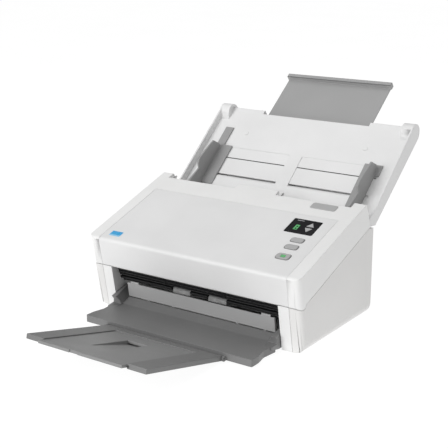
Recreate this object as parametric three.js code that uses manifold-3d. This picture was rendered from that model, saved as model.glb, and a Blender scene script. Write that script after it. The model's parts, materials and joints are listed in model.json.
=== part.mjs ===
// Sheet fed document scanner, drawn in millimetres: X to the right, Y to the back, Z up, floor at Z = 0.
import * as THREE from "three";
import Module from "manifold-3d";

const wasm = await Module();
wasm.setup();

// ---------------------------------------------------------------- driving dimensions

const HALF = 158; // half the width of the body
const SEAM = 141; // the side panels and the front panel meet here
const MOUTH = 126; // half the width of the paper exit
const SKIN = 2.5;
const GAP = 0.3;

const LEAN = 0.18; // the front face comes forward as it rises
const FRONT = { y: -90, z: 62 };
const CORNER = 9; // upright front corners
const FOOT_CORNER = 15; // lower side corners

const TOP = { y: -89, z: 101.4, slope: Math.atan(0.332) };
const SPLIT = { y: -86, z: 63.7, slope: Math.atan(0.35) }; // the line between base and cover
const COVER_BACK = { y: 66.4, z: 153 };
const BAND_FRONT = 119.8; // along the top, where the white rear band starts
const BAND_BACK = 151;
const TAB = 33.5;

const BACK = 87;
const UNDERSIDE = 3.4;
const SHOULDER = 117.8; // top of the base behind the cover

const HINGE = { y: -85.5, z: 66 };
const PATH = { y: -70, z: 45, slope: Math.atan(0.348) }; // the lower surface of the paper path

const TRAY = {
  y: 122.6,
  z: 146.7,
  deck: THREE.MathUtils.degToRad(41),
  wall: THREE.MathUtils.degToRad(37.8),
};
const PIVOT = { y: 88, z: 126 };
const DECK_TOP = 120;
const SHEET = 84.5;

const OUT_PIVOT = { y: -74, z: 8.2 };
const FLAP = { y: -145.5, z: 4.7, rise: THREE.MathUtils.degToRad(14) };
const FLAP_HALF = 86.5;
const BAR = 60;

// ---------------------------------------------------------------- materials

const materials = {
  white: [0xefefee, 0.5, 0],
  side: [0xe2e1df, 0.5, 0],
  panel: [0xe2e2e2, 0.5, 0],
  guide: [0xa0a0a0, 0.45, 0],
  sheet: [0xa6a6a6, 0.45, 0],
  tray: [0x7a7a7a, 0.5, 0],
  insert: [0x8f8f8f, 0.5, 0],
  lip: [0x9a9a9a, 0.5, 0],
  black: [0x1a1a1a, 0.4, 0],
  window: [0x0c0c0c, 0.12, 0],
  digit: [0x5fb070, 0.3, 0],
  button: [0xb0b0b0, 0.45, 0],
  rubber: [0x8c8c8c, 0.8, 0],
  darkRubber: [0x2a2a2a, 0.85, 0],
  steel: [0x9c9da0, 0.35, 1],
  zinc: [0xb7b9bb, 0.4, 1],
  board: [0x2f6b3f, 0.6, 0],
  port: [0xa9abad, 0.35, 1],
  glass: [0x20262a, 0.08, 0],
};

const part = new THREE.Group();

function place(name, solid, [color, roughness, metalness]) {
  const material = new THREE.MeshStandardMaterial({ color, roughness, metalness });
  const mesh = new THREE.Mesh(geometryOf(solid), material);
  mesh.name = name;
  part.add(mesh);
}

// ---------------------------------------------------------------- solids

function solidOf(geometry) {
  const source = geometry.index ? geometry.toNonIndexed() : geometry;
  const position = source.getAttribute("position");
  const keys = new Map();
  const vertices = [];
  const triangles = [];
  for (let i = 0; i < position.count; i += 1) {
    const point = [position.getX(i), position.getY(i), position.getZ(i)];
    const key = point.map((v) => Math.round(v * 1e4)).join(",");
    if (!keys.has(key)) {
      keys.set(key, vertices.length / 3);
      vertices.push(...point);
    }
    triangles.push(keys.get(key));
  }
  const kept = [];
  for (let i = 0; i < triangles.length; i += 3) {
    const [a, b, c] = triangles.slice(i, i + 3);
    if (a !== b && b !== c && c !== a) {
      kept.push(a, b, c);
    }
  }
  return new wasm.Manifold(
    new wasm.Mesh({
      numProp: 3,
      vertProperties: new Float32Array(vertices),
      triVerts: new Uint32Array(kept),
    }),
  );
}

function geometryOf(solid) {
  const mesh = solid.getMesh();
  const geometry = new THREE.BufferGeometry();
  geometry.setAttribute("position", new THREE.BufferAttribute(new Float32Array(mesh.vertProperties), 3));
  geometry.setIndex(new THREE.BufferAttribute(new Uint32Array(mesh.triVerts), 1));
  const flat = geometry.toNonIndexed();
  flat.computeVertexNormals();
  return flat;
}

const join = (first, ...rest) => rest.reduce((a, b) => a.add(b), first);
const cut = (first, ...rest) => rest.reduce((a, b) => a.subtract(b), first);
const common = (first, ...rest) => rest.reduce((a, b) => a.intersect(b), first);

function shapeOf(points) {
  return new THREE.Shape(points.map(([u, v]) => new THREE.Vector2(u, v)));
}

function extrude(points, depth) {
  return new THREE.ExtrudeGeometry(shapeOf(points), { depth, bevelEnabled: false, curveSegments: 8 });
}

// an outline in Y and Z, pushed along X
const ALONG_X = new THREE.Matrix4().set(0, 0, 1, 0, 1, 0, 0, 0, 0, 1, 0, 0, 0, 0, 0, 1);
function side(points, x0, x1, frame) {
  const geometry = extrude(points, x1 - x0);
  geometry.applyMatrix4(ALONG_X);
  geometry.translate(x0, 0, 0);
  if (frame) {
    geometry.applyMatrix4(frame);
  }
  return solidOf(geometry);
}

// an outline in X and Z, pushed along Y
function facing(points, y0, y1, frame) {
  const geometry = extrude(points, y1 - y0);
  geometry.rotateX(Math.PI / 2);
  geometry.translate(0, y1, 0);
  if (frame) {
    geometry.applyMatrix4(frame);
  }
  return solidOf(geometry);
}

// an outline in X and Y, pushed along Z
function flat(points, z0, z1, frame) {
  const geometry = extrude(points, z1 - z0);
  geometry.translate(0, 0, z0);
  if (frame) {
    geometry.applyMatrix4(frame);
  }
  return solidOf(geometry);
}

function box([x0, x1], [y0, y1], [z0, z1], frame) {
  const geometry = new THREE.BoxGeometry(x1 - x0, y1 - y0, z1 - z0);
  geometry.translate((x0 + x1) / 2, (y0 + y1) / 2, (z0 + z1) / 2);
  if (frame) {
    geometry.applyMatrix4(frame);
  }
  return solidOf(geometry);
}

function rod(x0, x1, at, radius, sides = 24) {
  const geometry = new THREE.CylinderGeometry(radius, radius, x1 - x0, sides);
  geometry.rotateZ(Math.PI / 2);
  geometry.translate((x0 + x1) / 2, at.y, at.z);
  return solidOf(geometry);
}

// a turned piece on an axis along X, from pairs of position and radius
function turned(steps, at, sides = 24) {
  const points = [new THREE.Vector2(0, steps[0][0])];
  for (const [x, radius] of steps) {
    points.push(new THREE.Vector2(radius, x));
  }
  points.push(new THREE.Vector2(0, steps[steps.length - 1][0]));
  const geometry = new THREE.LatheGeometry(points, sides);
  geometry.rotateZ(-Math.PI / 2);
  geometry.translate(0, at.y, at.z);
  return solidOf(geometry);
}

function post(x, y, z0, z1, radius, sides = 20, frame) {
  const geometry = new THREE.CylinderGeometry(radius, radius, z1 - z0, sides);
  geometry.rotateX(Math.PI / 2);
  geometry.translate(x, y, (z0 + z1) / 2);
  if (frame) {
    geometry.applyMatrix4(frame);
  }
  return solidOf(geometry);
}

function frameAt({ y, z }, angle) {
  return new THREE.Matrix4().makeTranslation(0, y, z).multiply(new THREE.Matrix4().makeRotationX(angle));
}

const topFrame = frameAt(TOP, TOP.slope);
const pathFrame = frameAt(PATH, PATH.slope);
const deckFrame = frameAt(TRAY, TRAY.deck);
const wallFrame = frameAt(TRAY, TRAY.wall);
const flapFrame = frameAt(FLAP, -FLAP.rise);

// ---------------------------------------------------------------- outlines

function arc(center, radius, from, to, steps) {
  const points = [];
  for (let i = 0; i <= steps; i += 1) {
    const angle = THREE.MathUtils.degToRad(from + ((to - from) * i) / steps);
    points.push([center[0] + radius * Math.cos(angle), center[1] + radius * Math.sin(angle)]);
  }
  return points;
}

// corners given as [u, v, radius] in counterclockwise order
function rounded(corners, steps = 5) {
  const points = [];
  corners.forEach(([u, v, radius = 0], i) => {
    if (!radius) {
      points.push([u, v]);
      return;
    }
    const corner = new THREE.Vector2(u, v);
    const before = new THREE.Vector2(...corners[(i + corners.length - 1) % corners.length].slice(0, 2));
    const after = new THREE.Vector2(...corners[(i + 1) % corners.length].slice(0, 2));
    const inward = before.sub(corner).normalize();
    const outward = after.sub(corner).normalize();
    const half = Math.acos(THREE.MathUtils.clamp(inward.dot(outward), -1, 1)) / 2;
    const reach = radius / Math.tan(half);
    const middle = inward.clone().add(outward).normalize();
    middle.multiplyScalar(radius / Math.sin(half)).add(corner);
    const start = inward.multiplyScalar(reach).add(corner).sub(middle);
    const end = outward.multiplyScalar(reach).add(corner).sub(middle);
    const turn = Math.atan2(start.cross(end), start.dot(end));
    for (let k = 0; k <= steps; k += 1) {
      const point = start.clone().rotateAround(new THREE.Vector2(), (turn * k) / steps).add(middle);
      points.push([point.x, point.y]);
    }
  });
  return points;
}

const rectangle = (u0, u1, v0, v1, radius = 0) => {
  const corners = [[u0, v0, radius], [u1, v0, radius], [u1, v1, radius], [u0, v1, radius]];
  return rounded(corners, 4);
};

// straight lines of the body, each as a point and a unit direction in Y and Z
const line = (y, z, dy, dz) => {
  const length = Math.hypot(dy, dz);
  return { y, z, dy: dy / length, dz: dz / length };
};
const frontLine = line(FRONT.y, FRONT.z, LEAN, -1);
const topLine = line(TOP.y, TOP.z, -Math.cos(TOP.slope), -Math.sin(TOP.slope));
const backLine = line(COVER_BACK.y, COVER_BACK.z, -Math.sin(TOP.slope), Math.cos(TOP.slope));
const splitLine = line(SPLIT.y, SPLIT.z, Math.cos(SPLIT.slope), Math.sin(SPLIT.slope));

// the line moved to its left, which is inward for an outline drawn counterclockwise
const inset = (l, by) => ({ ...l, y: l.y - l.dz * by, z: l.z + l.dy * by });

function meet(a, b) {
  const across = a.dy * b.dz - a.dz * b.dy;
  const t = ((b.y - a.y) * b.dz - (b.z - a.z) * b.dy) / across;
  return [a.y + a.dy * t, a.z + a.dz * t];
}

function coverOutline(by) {
  const front = inset(frontLine, by);
  const top = inset(topLine, by);
  const back = inset(backLine, by);
  const round = 6;
  const start = meet(front, line(0, 62, 1, 0));
  const below = arc([HINGE.y, HINGE.z], round, 222, 356, 6);
  const past = below.filter(([y, z]) => z < splitHeight(y) + 0.05 && y > start[0]);
  return rounded([
    [...start, 0],
    ...past.map(([y, z]) => [y, z, 0]),
    [...meet(splitLine, back), 2],
    [...meet(back, top), 3],
    [...meet(top, front), Math.max(5 - by, 1)],
  ]);
}

function splitHeight(y) {
  return SPLIT.z + Math.tan(SPLIT.slope) * (y - SPLIT.y);
}

function frontAt(z) {
  return FRONT.y - LEAN * (z - FRONT.z);
}

// the upright front corners follow the lean of the face
const leaning = new THREE.Matrix4().set(1, 0, 0, 0, 0, 1, -LEAN, LEAN * FRONT.z, 0, 0, 1, 0, 0, 0, 0, 1);
function envelope(by) {
  const half = HALF - by;
  const front = FRONT.y;
  const plan = rounded([[-half, front, CORNER], [half, front, CORNER], [half, 140, 0], [-half, 140, 0]], 6);
  const below = 2 + by;
  const corner = FOOT_CORNER - by;
  const faceOn = rounded([[-half, below, corner], [half, below, corner], [half, 180, 0], [-half, 180, 0]], 6);
  return common(flat(plan, 0, 180, leaning), facing(faceOn, -130, 120));
}

function baseOutline(by) {
  const outline = [[frontAt(2 + by) + by, 2 + by]];
  outline.push([-66, 2 + by], [-60, UNDERSIDE + by], [BACK - by, UNDERSIDE + by]);
  outline.push([BACK - by, SHOULDER - by], [76 + by, SHOULDER - by]);
  const lower = inset(splitLine, -GAP - 0.2 - by);
  outline.push(meet(lower, line(76 + by, 0, 0, 1)));
  const pocket = arc([HINGE.y, HINGE.z], 6.5 + by, -8, -136, 7);
  outline.push(...pocket.filter(([y, z]) => z < splitHeight(y) - 0.5 && y > frontAt(z) + by));
  outline.push([frontAt(61.2 - by) + by, 61.2 - by]);
  return outline;
}

// a point given along and above the paper path
function onPath(u, v) {
  const [c, s] = [Math.cos(PATH.slope), Math.sin(PATH.slope)];
  return { y: PATH.y + u * c - v * s, z: PATH.z + u * s + v * c };
}

function mirrored(build) {
  return [["left", build(-1)], ["right", build(1)]];
}

const spanX = (sign, near, far) => (sign > 0 ? [near, far] : [-far, -near]);

// ---------------------------------------------------------------- rollers and drive positions

const EXIT_ALONG = 4.3; // where the rollers touch the paper, along the paper path
const DRIVE_ALONG = 87;
const EXIT = { ...onPath(EXIT_ALONG, -8), radius: 8 };
const DRIVE = { ...onPath(DRIVE_ALONG, -10), radius: 10 };
const FEED = { ...onPath(116, -12), radius: 12 };
const MOTOR = { y: 5, z: 26, radius: 16 };
const PULLEY_SHARE = 0.9; // of the radius of its roller, so all the rollers run at one paper speed
const MOTOR_PULLEY = 7.2;
const BELT = [131.3, 136.7];
const ROLLER = [14, 41]; // from the middle, for each roller of a pair
const IDLER = 5;
const PAPER = 0.4;
const SHAFT = 3;

// ---------------------------------------------------------------- base

const baseOuter = common(side(baseOutline(0), -HALF, HALF), envelope(0));
const baseInner = common(side(baseOutline(SKIN), -HALF, HALF), envelope(SKIN));
const WALL = 128.5; // outer face of the inner walls
const PIN = 1.4; // radius of the cover's hinge pins
const SENSOR = { u: [38, 56], half: 112 };
const USB = { x: [-64, -52], z: [10.9, 20] };
const JACK = { x: -90, z: 17, radius: 5 };

function hingeArm(sign) {
  const [eye, half, heading] = [2.6, 1.8, -35]; // a straight arm that leaves the round eye
  const spread = THREE.MathUtils.radToDeg(Math.asin(half / eye));
  const far = arc([HINGE.y, HINGE.z], 9.2, heading - 11.3, heading + 11.3, 1);
  const arm = [...arc([HINGE.y, HINGE.z], eye, heading + spread, heading - spread + 360, 9), ...far];
  const hole = rod(...spanX(sign, 126, 132), HINGE, PIN + 0.2, 12);
  return cut(side(arm, ...spanX(sign, 126.9, 131)), hole);
}

function baseLeg(sign) {
  const shell = cut(
    common(baseOuter, box(spanX(sign, MOUTH, SEAM - GAP), [-130, 120], [0, 130])),
    common(baseInner, box(spanX(sign, WALL, SEAM + 1), [-130, 120], [0, 130])),
  );
  const catchNub = box(spanX(sign, 128, 134), [51, 56], [99, 102.5]);
  const bores = [EXIT, DRIVE, FEED].map((at) => rod(...spanX(sign, 120, 130), at, SHAFT + 0.4, 16));
  bores.push(rod(...spanX(sign, 120, 130), OUT_PIVOT, 2.6, 16));
  if (sign > 0) {
    bores.push(rod(120, 130, MOTOR, 5, 16));
  }
  const latchSlot = box(spanX(sign, 129.4, 134.6), [38, 58], [104, 118]);
  return join(cut(shell, latchSlot, ...bores), hingeArm(sign), catchNub);
}

function baseFrame() {
  const floor = box([-MOUTH - 1, MOUTH + 1], [-57, BACK], [UNDERSIDE, UNDERSIDE + SKIN]);
  const wall = box([-MOUTH - 1, MOUTH + 1], [BACK - SKIN, BACK], [UNDERSIDE, 109.5]);
  const posts = [];
  for (const x of [-112, 54]) {
    for (const y of [34, 74]) {
      posts.push(post(x, y, UNDERSIDE + 1, 8.7, 3, 12));
    }
  }
  const usbHole = box([USB.x[0] - 0.5, USB.x[1] + 0.5], [80, 90], [USB.z[0] - 0.5, USB.z[1] + 0.5]);
  const jackHole = facing(arc([JACK.x, JACK.z], JACK.radius + 0.5, 0, 345, 23), 80, 90);
  const body = join(baseLeg(-1), baseLeg(1), floor, wall, ...posts);
  return cut(body, usbHole, jackHole);
}

function sidePanel(sign) {
  const shell = cut(
    common(baseOuter, box(spanX(sign, SEAM, HALF + 1), [-130, 120], [0, 130])),
    common(baseInner, box(spanX(sign, SEAM - 1, HALF - SKIN), [-130, 120], [0, 130])),
  );
  const ear = [...arc([PIVOT.y, PIVOT.z], 6.6, -72, 216, 16), [80.5, 116.5], [86.9, 116.5]];
  const lug = cut(side(ear, ...spanX(sign, 142, 151.6)), rod(...spanX(sign, 141, 153), PIVOT, 2.9, 20));
  return join(shell, lug);
}

function bottomPlate() {
  return flat(rectangle(-122, 122, -54, 82, 4), 2, 3.1);
}

function foot(x, y) {
  const profile = [[0, 0], [7, 0], [8, 1], [8, 2], [0, 2]].map(([r, z]) => new THREE.Vector2(r, z));
  const geometry = new THREE.LatheGeometry(profile, 24);
  geometry.rotateX(Math.PI / 2);
  geometry.translate(x, y, 0);
  return solidOf(geometry);
}

function lowerGuide() {
  const deck = box([-MOUTH + GAP, MOUTH - GAP], [-3.5, 131], [-3, -0.2], pathFrame);
  const flanges = [-1, 1].map((s) => box(spanX(s, 123, MOUTH - GAP), [6, 131], [-11, -2.8], pathFrame));
  const windows = [
    box([-SENSOR.half + 2, SENSOR.half - 2], [SENSOR.u[0] + 1, SENSOR.u[1] - 1], [-5, 1], pathFrame),
    box([-22, 22], [107, 126], [-5, 1], pathFrame),
    box([-46, 46], [78, 96], [-5, 1], pathFrame),
  ];
  for (const s of [-1, 1]) {
    const exitSpan = [EXIT_ALONG - 9, EXIT_ALONG + 8];
    windows.push(box(spanX(s, ROLLER[0] - 1, ROLLER[1] + 1), exitSpan, [-5, 1], pathFrame));
    windows.push(rod(...spanX(s, 120, 128), EXIT, SHAFT + 1, 12));
    windows.push(rod(...spanX(s, 120, 128), DRIVE, SHAFT + 1, 12));
    windows.push(rod(...spanX(s, 120, 128), FEED, SHAFT + 1, 12));
  }
  return cut(join(deck, ...flanges), ...windows);
}

function exitLip() {
  const plate = side([[-72.2, 18.5], [-69.7, 18.5], [-72.5, 38], [-75, 38]], -112.5, 112.5);
  const steps = [[-107, -94], [94, 107]].map((span) => box(span, [-74.8, -72.7], [37, 40.2]));
  const ribs = [-90, -50, 50, 90].map((x) => {
    const web = [[-71.9, 29], [-71.2, 24], [-61, 21], [-61, 6.2], [-56.5, 6.2], [-56.5, 29]];
    return side(web, x - 1.2, x + 1.2);
  });
  return join(plate, ...steps, ...ribs);
}

function feedRamp() {
  const sheet = box([-MOUTH + GAP, MOUTH - GAP], [-87.5, -46.7], [-2.8, -0.2], deckFrame);
  const web = [[61, 86], [84.2, 86], [84.2, 110], [61, 90]];
  return join(sheet, ...[-100, -35, 35, 100].map((x) => side(web, x - 1.2, x + 1.2)));
}

function sensor(v0, v1, u0 = SENSOR.u[0]) {
  return box([-SENSOR.half, SENSOR.half], [u0, u0 + 18], [v0, v1], pathFrame);
}

function sensorGlass(v0, v1, u0 = SENSOR.u[0]) {
  return box([-SENSOR.half + 2.3, SENSOR.half - 2.3], [u0 + 1.3, u0 + 16.7], [v0, v1], pathFrame);
}

// a shaft across the body with its belt pulley moulded on the right end
function drivenShaft(at) {
  const pulley = at.radius * PULLEY_SHARE;
  const flange = pulley + 1.4;
  return turned([
    [-128, SHAFT], [130, SHAFT], [130, flange], [131, flange], [131, pulley],
    [137, pulley], [137, flange], [138, flange],
  ], at, 32);
}

function sleeve(at, from, to, radius) {
  return cut(rod(from, to, at, radius, 36), rod(from - 1, to + 1, at, SHAFT + 0.2, 20));
}

function motor() {
  const { radius } = MOTOR;
  return turned([[92, radius - 1.5], [93.5, radius], [124, radius], [125.7, radius - 1]], MOTOR, 32);
}

function motorPulley() {
  return turned([
    [126, 2.5], [130, 2.5], [130, MOTOR_PULLEY + 1.4], [131, MOTOR_PULLEY + 1.4], [131, MOTOR_PULLEY],
    [137, MOTOR_PULLEY], [137, MOTOR_PULLEY + 1.4], [138, MOTOR_PULLEY + 1.4],
  ], MOTOR, 32);
}

// the outline of a band pulled tight round wheels listed counterclockwise
function band(wheels, extra) {
  const normals = wheels.map((wheel, i) => {
    const next = wheels[(i + 1) % wheels.length];
    const distance = Math.hypot(next.y - wheel.y, next.z - wheel.z);
    const heading = Math.atan2(next.z - wheel.z, next.y - wheel.y);
    return THREE.MathUtils.radToDeg(heading - Math.acos((wheel.radius - next.radius) / distance));
  });
  return wheels.flatMap((wheel, i) => {
    const from = normals[(i + wheels.length - 1) % wheels.length];
    const to = from + ((((normals[i] - from) % 360) + 360) % 360);
    return arc([wheel.y, wheel.z], wheel.radius + extra, from, to, Math.max(2, Math.round((to - from) / 12)));
  });
}

function driveBelt() {
  const pulleyOf = (roller) => ({ ...roller, radius: roller.radius * PULLEY_SHARE });
  const wheels = [pulleyOf(EXIT), { ...MOTOR, radius: MOTOR_PULLEY }, pulleyOf(FEED), pulleyOf(DRIVE)];
  return cut(side(band(wheels, 1.35), ...BELT), side(band(wheels, 0.25), BELT[0] - 1, BELT[1] + 1));
}

function mainBoard() {
  return flat(rectangle(-118, 60, 28, 79, 2), 9, 10.6);
}

function usbPort() {
  return box(USB.x, [72, BACK + 0.4], USB.z);
}

function powerJack() {
  const barrel = facing(arc([JACK.x, JACK.z], JACK.radius, 0, 345, 23), 74, BACK + 0.4);
  return cut(barrel, facing(arc([JACK.x, JACK.z], 3, 0, 340, 17), 78, BACK + 1));
}

place("base_frame", baseFrame(), materials.white);
mirrored(sidePanel).forEach(([word, solid]) => place(`side_panel_${word}`, solid, materials.side));
place("bottom_plate", bottomPlate(), materials.zinc);
[[-104, -44], [104, -44], [-104, 70], [104, 70]].forEach(([x, y], i) => {
  place(`foot_${i + 1}`, foot(x, y), materials.darkRubber);
});
place("lower_guide", lowerGuide(), materials.black);
place("exit_lip", exitLip(), materials.lip);
place("feed_ramp", feedRamp(), materials.white);
place("lower_sensor", sensor(-16, -3.4), materials.black);
place("lower_glass", sensorGlass(-3.1, -0.2), materials.glass);
place("feed_shaft", drivenShaft(FEED), materials.black);
place("feed_roller", sleeve(FEED, -20, 20, FEED.radius), materials.darkRubber);
place("drive_shaft", drivenShaft(DRIVE), materials.black);
place("drive_roller", sleeve(DRIVE, -ROLLER[1], ROLLER[1], DRIVE.radius), materials.darkRubber);
place("exit_shaft", drivenShaft(EXIT), materials.black);
for (const [word, sign] of [["left", -1], ["right", 1]]) {
  place(`exit_roller_${word}`, sleeve(EXIT, ...spanX(sign, ...ROLLER), EXIT.radius), materials.rubber);
}
place("motor", motor(), materials.zinc);
place("motor_pulley", motorPulley(), materials.black);
place("drive_belt", driveBelt(), materials.darkRubber);
place("main_board", mainBoard(), materials.board);
place("usb_port", usbPort(), materials.port);
place("power_jack", powerJack(), materials.black);

// ---------------------------------------------------------------- cover

const coverOuter = common(side(coverOutline(0), -HALF, HALF), envelope(0));
const FRAME_SKIN = 4.9;
const PANEL = 2.3;
const WINDOW = { x: [86.2, 125.6], s: [78.7, 109] };
const RELEASE = { x: [91, 126.4], s: [136, 148.5] };
const CONTROLS = {
  key_up: { x: 114.6, s: 99.5, width: 10, depth: 8 },
  key_down: { x: 114.6, s: 88, width: 10, depth: 8 },
  button_upper: { x: 114.2, s: 65, width: 16.5, depth: 8.2 },
  button_lower: { x: 114.6, s: 50, width: 16.5, depth: 8.2 },
  power_button: { x: 115, s: 29.5, width: 17.5, depth: 10.5 },
};
const LATCH = { s: 138, h: -22 };

function topPoint(s, h) {
  const [c, n] = [Math.cos(TOP.slope), Math.sin(TOP.slope)];
  return { y: TOP.y + s * c - h * n, z: TOP.z + s * n + h * c };
}

// the skin of the cover over the front and top, back to the rear band
function wrap(outer, inner, half, end) {
  const front = inset(frontLine, inner);
  const top = inset(topLine, inner);
  const [low] = meet(front, line(0, FRONT.z, 1, 0));
  const under = rounded([
    [-130, 40],
    [120, 40],
    meet(top, line(120, 0, 0, 1)),
    [...meet(top, front), 5 - inner],
    [low, FRONT.z],
    [-130, FRONT.z],
  ]);
  const skin = cut(side(coverOutline(outer), -half, half), side(under, -half - 1, half + 1));
  return common(skin, box([-half, half], [-60, end], [-60, 20], topFrame));
}

function keyOutline({ x, s, width, depth }, extra, tip) {
  const [w, d] = [width / 2 + extra, depth / 2 + extra];
  if (!tip) {
    return rectangle(x - w, x + w, s - d, s + d, d * 0.6);
  }
  return tip > 0
    ? [[x - w, s - d], [x + w, s - d], [x, s + d]]
    : [[x - w, s + d], [x, s - d], [x + w, s + d]];
}

const tipOf = (name) => ({ key_up: 1, key_down: -1 })[name] ?? 0;

function controlHoles(extra) {
  return Object.entries(CONTROLS).map(([name, at]) => {
    return flat(keyOutline(at, extra, tipOf(name)), -7, 3, topFrame);
  });
}

function windowBlock(extra, h0, h1) {
  const outline = rectangle(
    WINDOW.x[0] - extra, WINDOW.x[1] + extra, WINDOW.s[0] - extra, WINDOW.s[1] + extra, 1.5,
  );
  return flat(outline, h0, h1, topFrame);
}

function coverCavity() {
  const front = inset(frontLine, FRAME_SKIN);
  const top = inset(topLine, FRAME_SKIN);
  const back = inset(backLine, 3);
  const low = inset(splitLine, -4);
  const outline = [
    meet(front, line(0, 72, 1, 0)), [-78, 72], meet(low, line(-78, 0, 0, 1)),
    meet(low, back), meet(back, top), meet(top, front),
  ];
  const whole = common(side(outline, -HALF + 3, HALF - 3), envelope(3));
  return cut(whole, box([-144.6, 144.6], [148, 220], [-100, 20], topFrame));
}

function rearOpening() {
  const opening = box([-141.8, 141.8], [BAND_BACK, 220], [-100, 20], topFrame);
  const outline = rounded([[-TAB, 140, 0], [TAB, 140, 0], [TAB - 3, 164, 3], [-TAB + 3, 164, 3]], 3);
  return cut(opening, flat(outline, -6, 20, topFrame));
}

function hingeSlot(sign) {
  const centre = [HINGE.y, HINGE.z];
  const sector = [...arc(centre, 8, -128, 8, 8), centre];
  const span = spanX(sign, 126.5, 131.4);
  const bore = rod(...spanX(sign, 123, 135), HINGE, PIN + 0.2, 12);
  return join(side(sector, ...span), rod(...span, HINGE, 3.3, 16), bore);
}

function coverFrame() {
  const releaseHole = rectangle(
    RELEASE.x[0] - GAP, RELEASE.x[1] + GAP, RELEASE.s[0] - GAP, RELEASE.s[1] + GAP, 3,
  );
  const holes = [
    coverCavity(),
    rearOpening(),
    wrap(-2, PANEL + GAP, SEAM, BAND_FRONT),
    hingeSlot(-1),
    hingeSlot(1),
    windowBlock(-3, -8, 3),
    flat(releaseHole, -11, 3, topFrame),
    ...controlHoles(GAP),
  ];
  const gussets = [-136, 38].map((x) => side([[53, 147], [63, 150.6], [55, 136]], x, x + 2.5));
  return join(cut(coverOuter, ...holes), ...gussets);
}

function frontPanel() {
  return cut(wrap(0, PANEL, SEAM - 0.25, BAND_FRONT - 0.25), windowBlock(0.2, -8, 3), ...controlHoles(GAP));
}

// a figure of eight whose bars are all as wide as BAR_WIDTH
const DIGIT = { x: 97.9, s: 91, halfWidth: 2.7, halfHeight: 5.2 };
const BAR_WIDTH = 1.3;

function digitOutline(extra) {
  const [w, d] = [DIGIT.halfWidth + extra, DIGIT.halfHeight + extra];
  return rectangle(DIGIT.x - w, DIGIT.x + w, DIGIT.s - d, DIGIT.s + d);
}

function displayDigit() {
  const { x, s, halfWidth, halfHeight } = DIGIT;
  const across = [x - halfWidth + BAR_WIDTH, x + halfWidth - BAR_WIDTH];
  const upper = [s + BAR_WIDTH / 2, s + halfHeight - BAR_WIDTH];
  const lower = [s - halfHeight + BAR_WIDTH, s - BAR_WIDTH / 2];
  const holes = [upper, lower].map((along) => box(across, along, [-2, 1], topFrame));
  return cut(flat(digitOutline(0), -0.9, 0.1, topFrame), ...holes);
}

function displayWindow() {
  const keys = ["key_up", "key_down"].map((name) => {
    return flat(keyOutline(CONTROLS[name], GAP, tipOf(name)), -7, 3, topFrame);
  });
  const pocket = flat(digitOutline(0.2), -1.2, 3, topFrame);
  return cut(windowBlock(0, -2.2, 0.15), pocket, ...keys);
}

function control(name) {
  const at = CONTROLS[name];
  const tip = tipOf(name);
  const body = flat(keyOutline(at, 0, tip), -5, tip ? 0.7 : 1, topFrame);
  if (name !== "power_button") {
    return body;
  }
  return cut(body, flat(rectangle(at.x - 3.4, at.x + 3.4, at.s - 2.6, at.s + 2.6, 1), -1, 3, topFrame));
}

function powerLamp() {
  const { x, s } = CONTROLS.power_button;
  return flat(rectangle(x - 3.1, x + 3.1, s - 2.3, s + 2.3, 1), -0.7, 1.1, topFrame);
}

function releaseButton() {
  return flat(rectangle(...RELEASE.x, ...RELEASE.s, 3), -7, 0.5, topFrame);
}

function latchShaft() {
  return rod(-137, 137, topPoint(LATCH.s, LATCH.h), 2.2, 16);
}

function latchHook(sign) {
  const at = topPoint(LATCH.s, LATCH.h);
  const outline = [
    [at.y - 4.5, at.z + 4], [at.y - 4.5, at.z - 2], [46, 97], [50.5, 97], [50.5, 100.5],
    [49, 101.5], [at.y + 4.5, at.z - 2], [at.y + 4.5, at.z + 4],
  ];
  return cut(side(outline, ...spanX(sign, 130.4, 133.6)), rod(...spanX(sign, 129, 135), at, 2.5, 16));
}

function idlerBracket(x, u) {
  return box([x - 1.5, x + 1.5], [u - 4, u + 4], [4, 9.5], pathFrame);
}

function upperGuide() {
  const outline = [
    [-4, 3.5], [111.5, 3.5], [133, 21], [131.5, 23], [110.6, 6], [-1.5, 6], [-1.5, 17.5], [-4, 17.5],
  ];
  const plate = side(outline, -MOUTH + 1, MOUTH - 1, pathFrame);
  const windows = [
    box([-SENSOR.half + 2, SENSOR.half - 2], [61, 77], [0, 8], pathFrame),
    box([-28, 28], [103, 131], [0, 20], pathFrame),
  ];
  const idlers = [EXIT_ALONG, DRIVE_ALONG];
  windows.push(...idlers.map((u) => box([-46, 46], [u - 5.7, u + 6.5], [0, 8], pathFrame)));
  const brackets = idlers.flatMap((u) => [-48, 48].map((x) => idlerBracket(x, u)));
  const bores = idlers.map((u) => rod(-50.5, 50.5, onPath(u, IDLER + PAPER), 2.35, 14));
  return cut(join(cut(plate, ...windows), ...brackets), ...bores);
}

function idler(u) {
  const at = onPath(u, IDLER + PAPER);
  const [near, far] = ROLLER;
  return turned([
    [-50, 2], [-far, 2], [-far, IDLER], [-near, IDLER], [-near, 2],
    [near, 2], [near, IDLER], [far, IDLER], [far, 2], [50, 2],
  ], at, 24);
}

function padHolder() {
  return box([-25, 25], [105, 124], [4, 8.5], pathFrame);
}

function separationPad() {
  return box([-18, 18], [111, 121], [PAPER + 0.3, 3.7], pathFrame);
}

function controlBoard() {
  return box([80, 134], [16, 112], [-9.6, -8], topFrame);
}

function hingePin(sign) {
  return rod(...spanX(sign, 123.3, 134.7), HINGE, PIN, 16);
}

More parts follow.
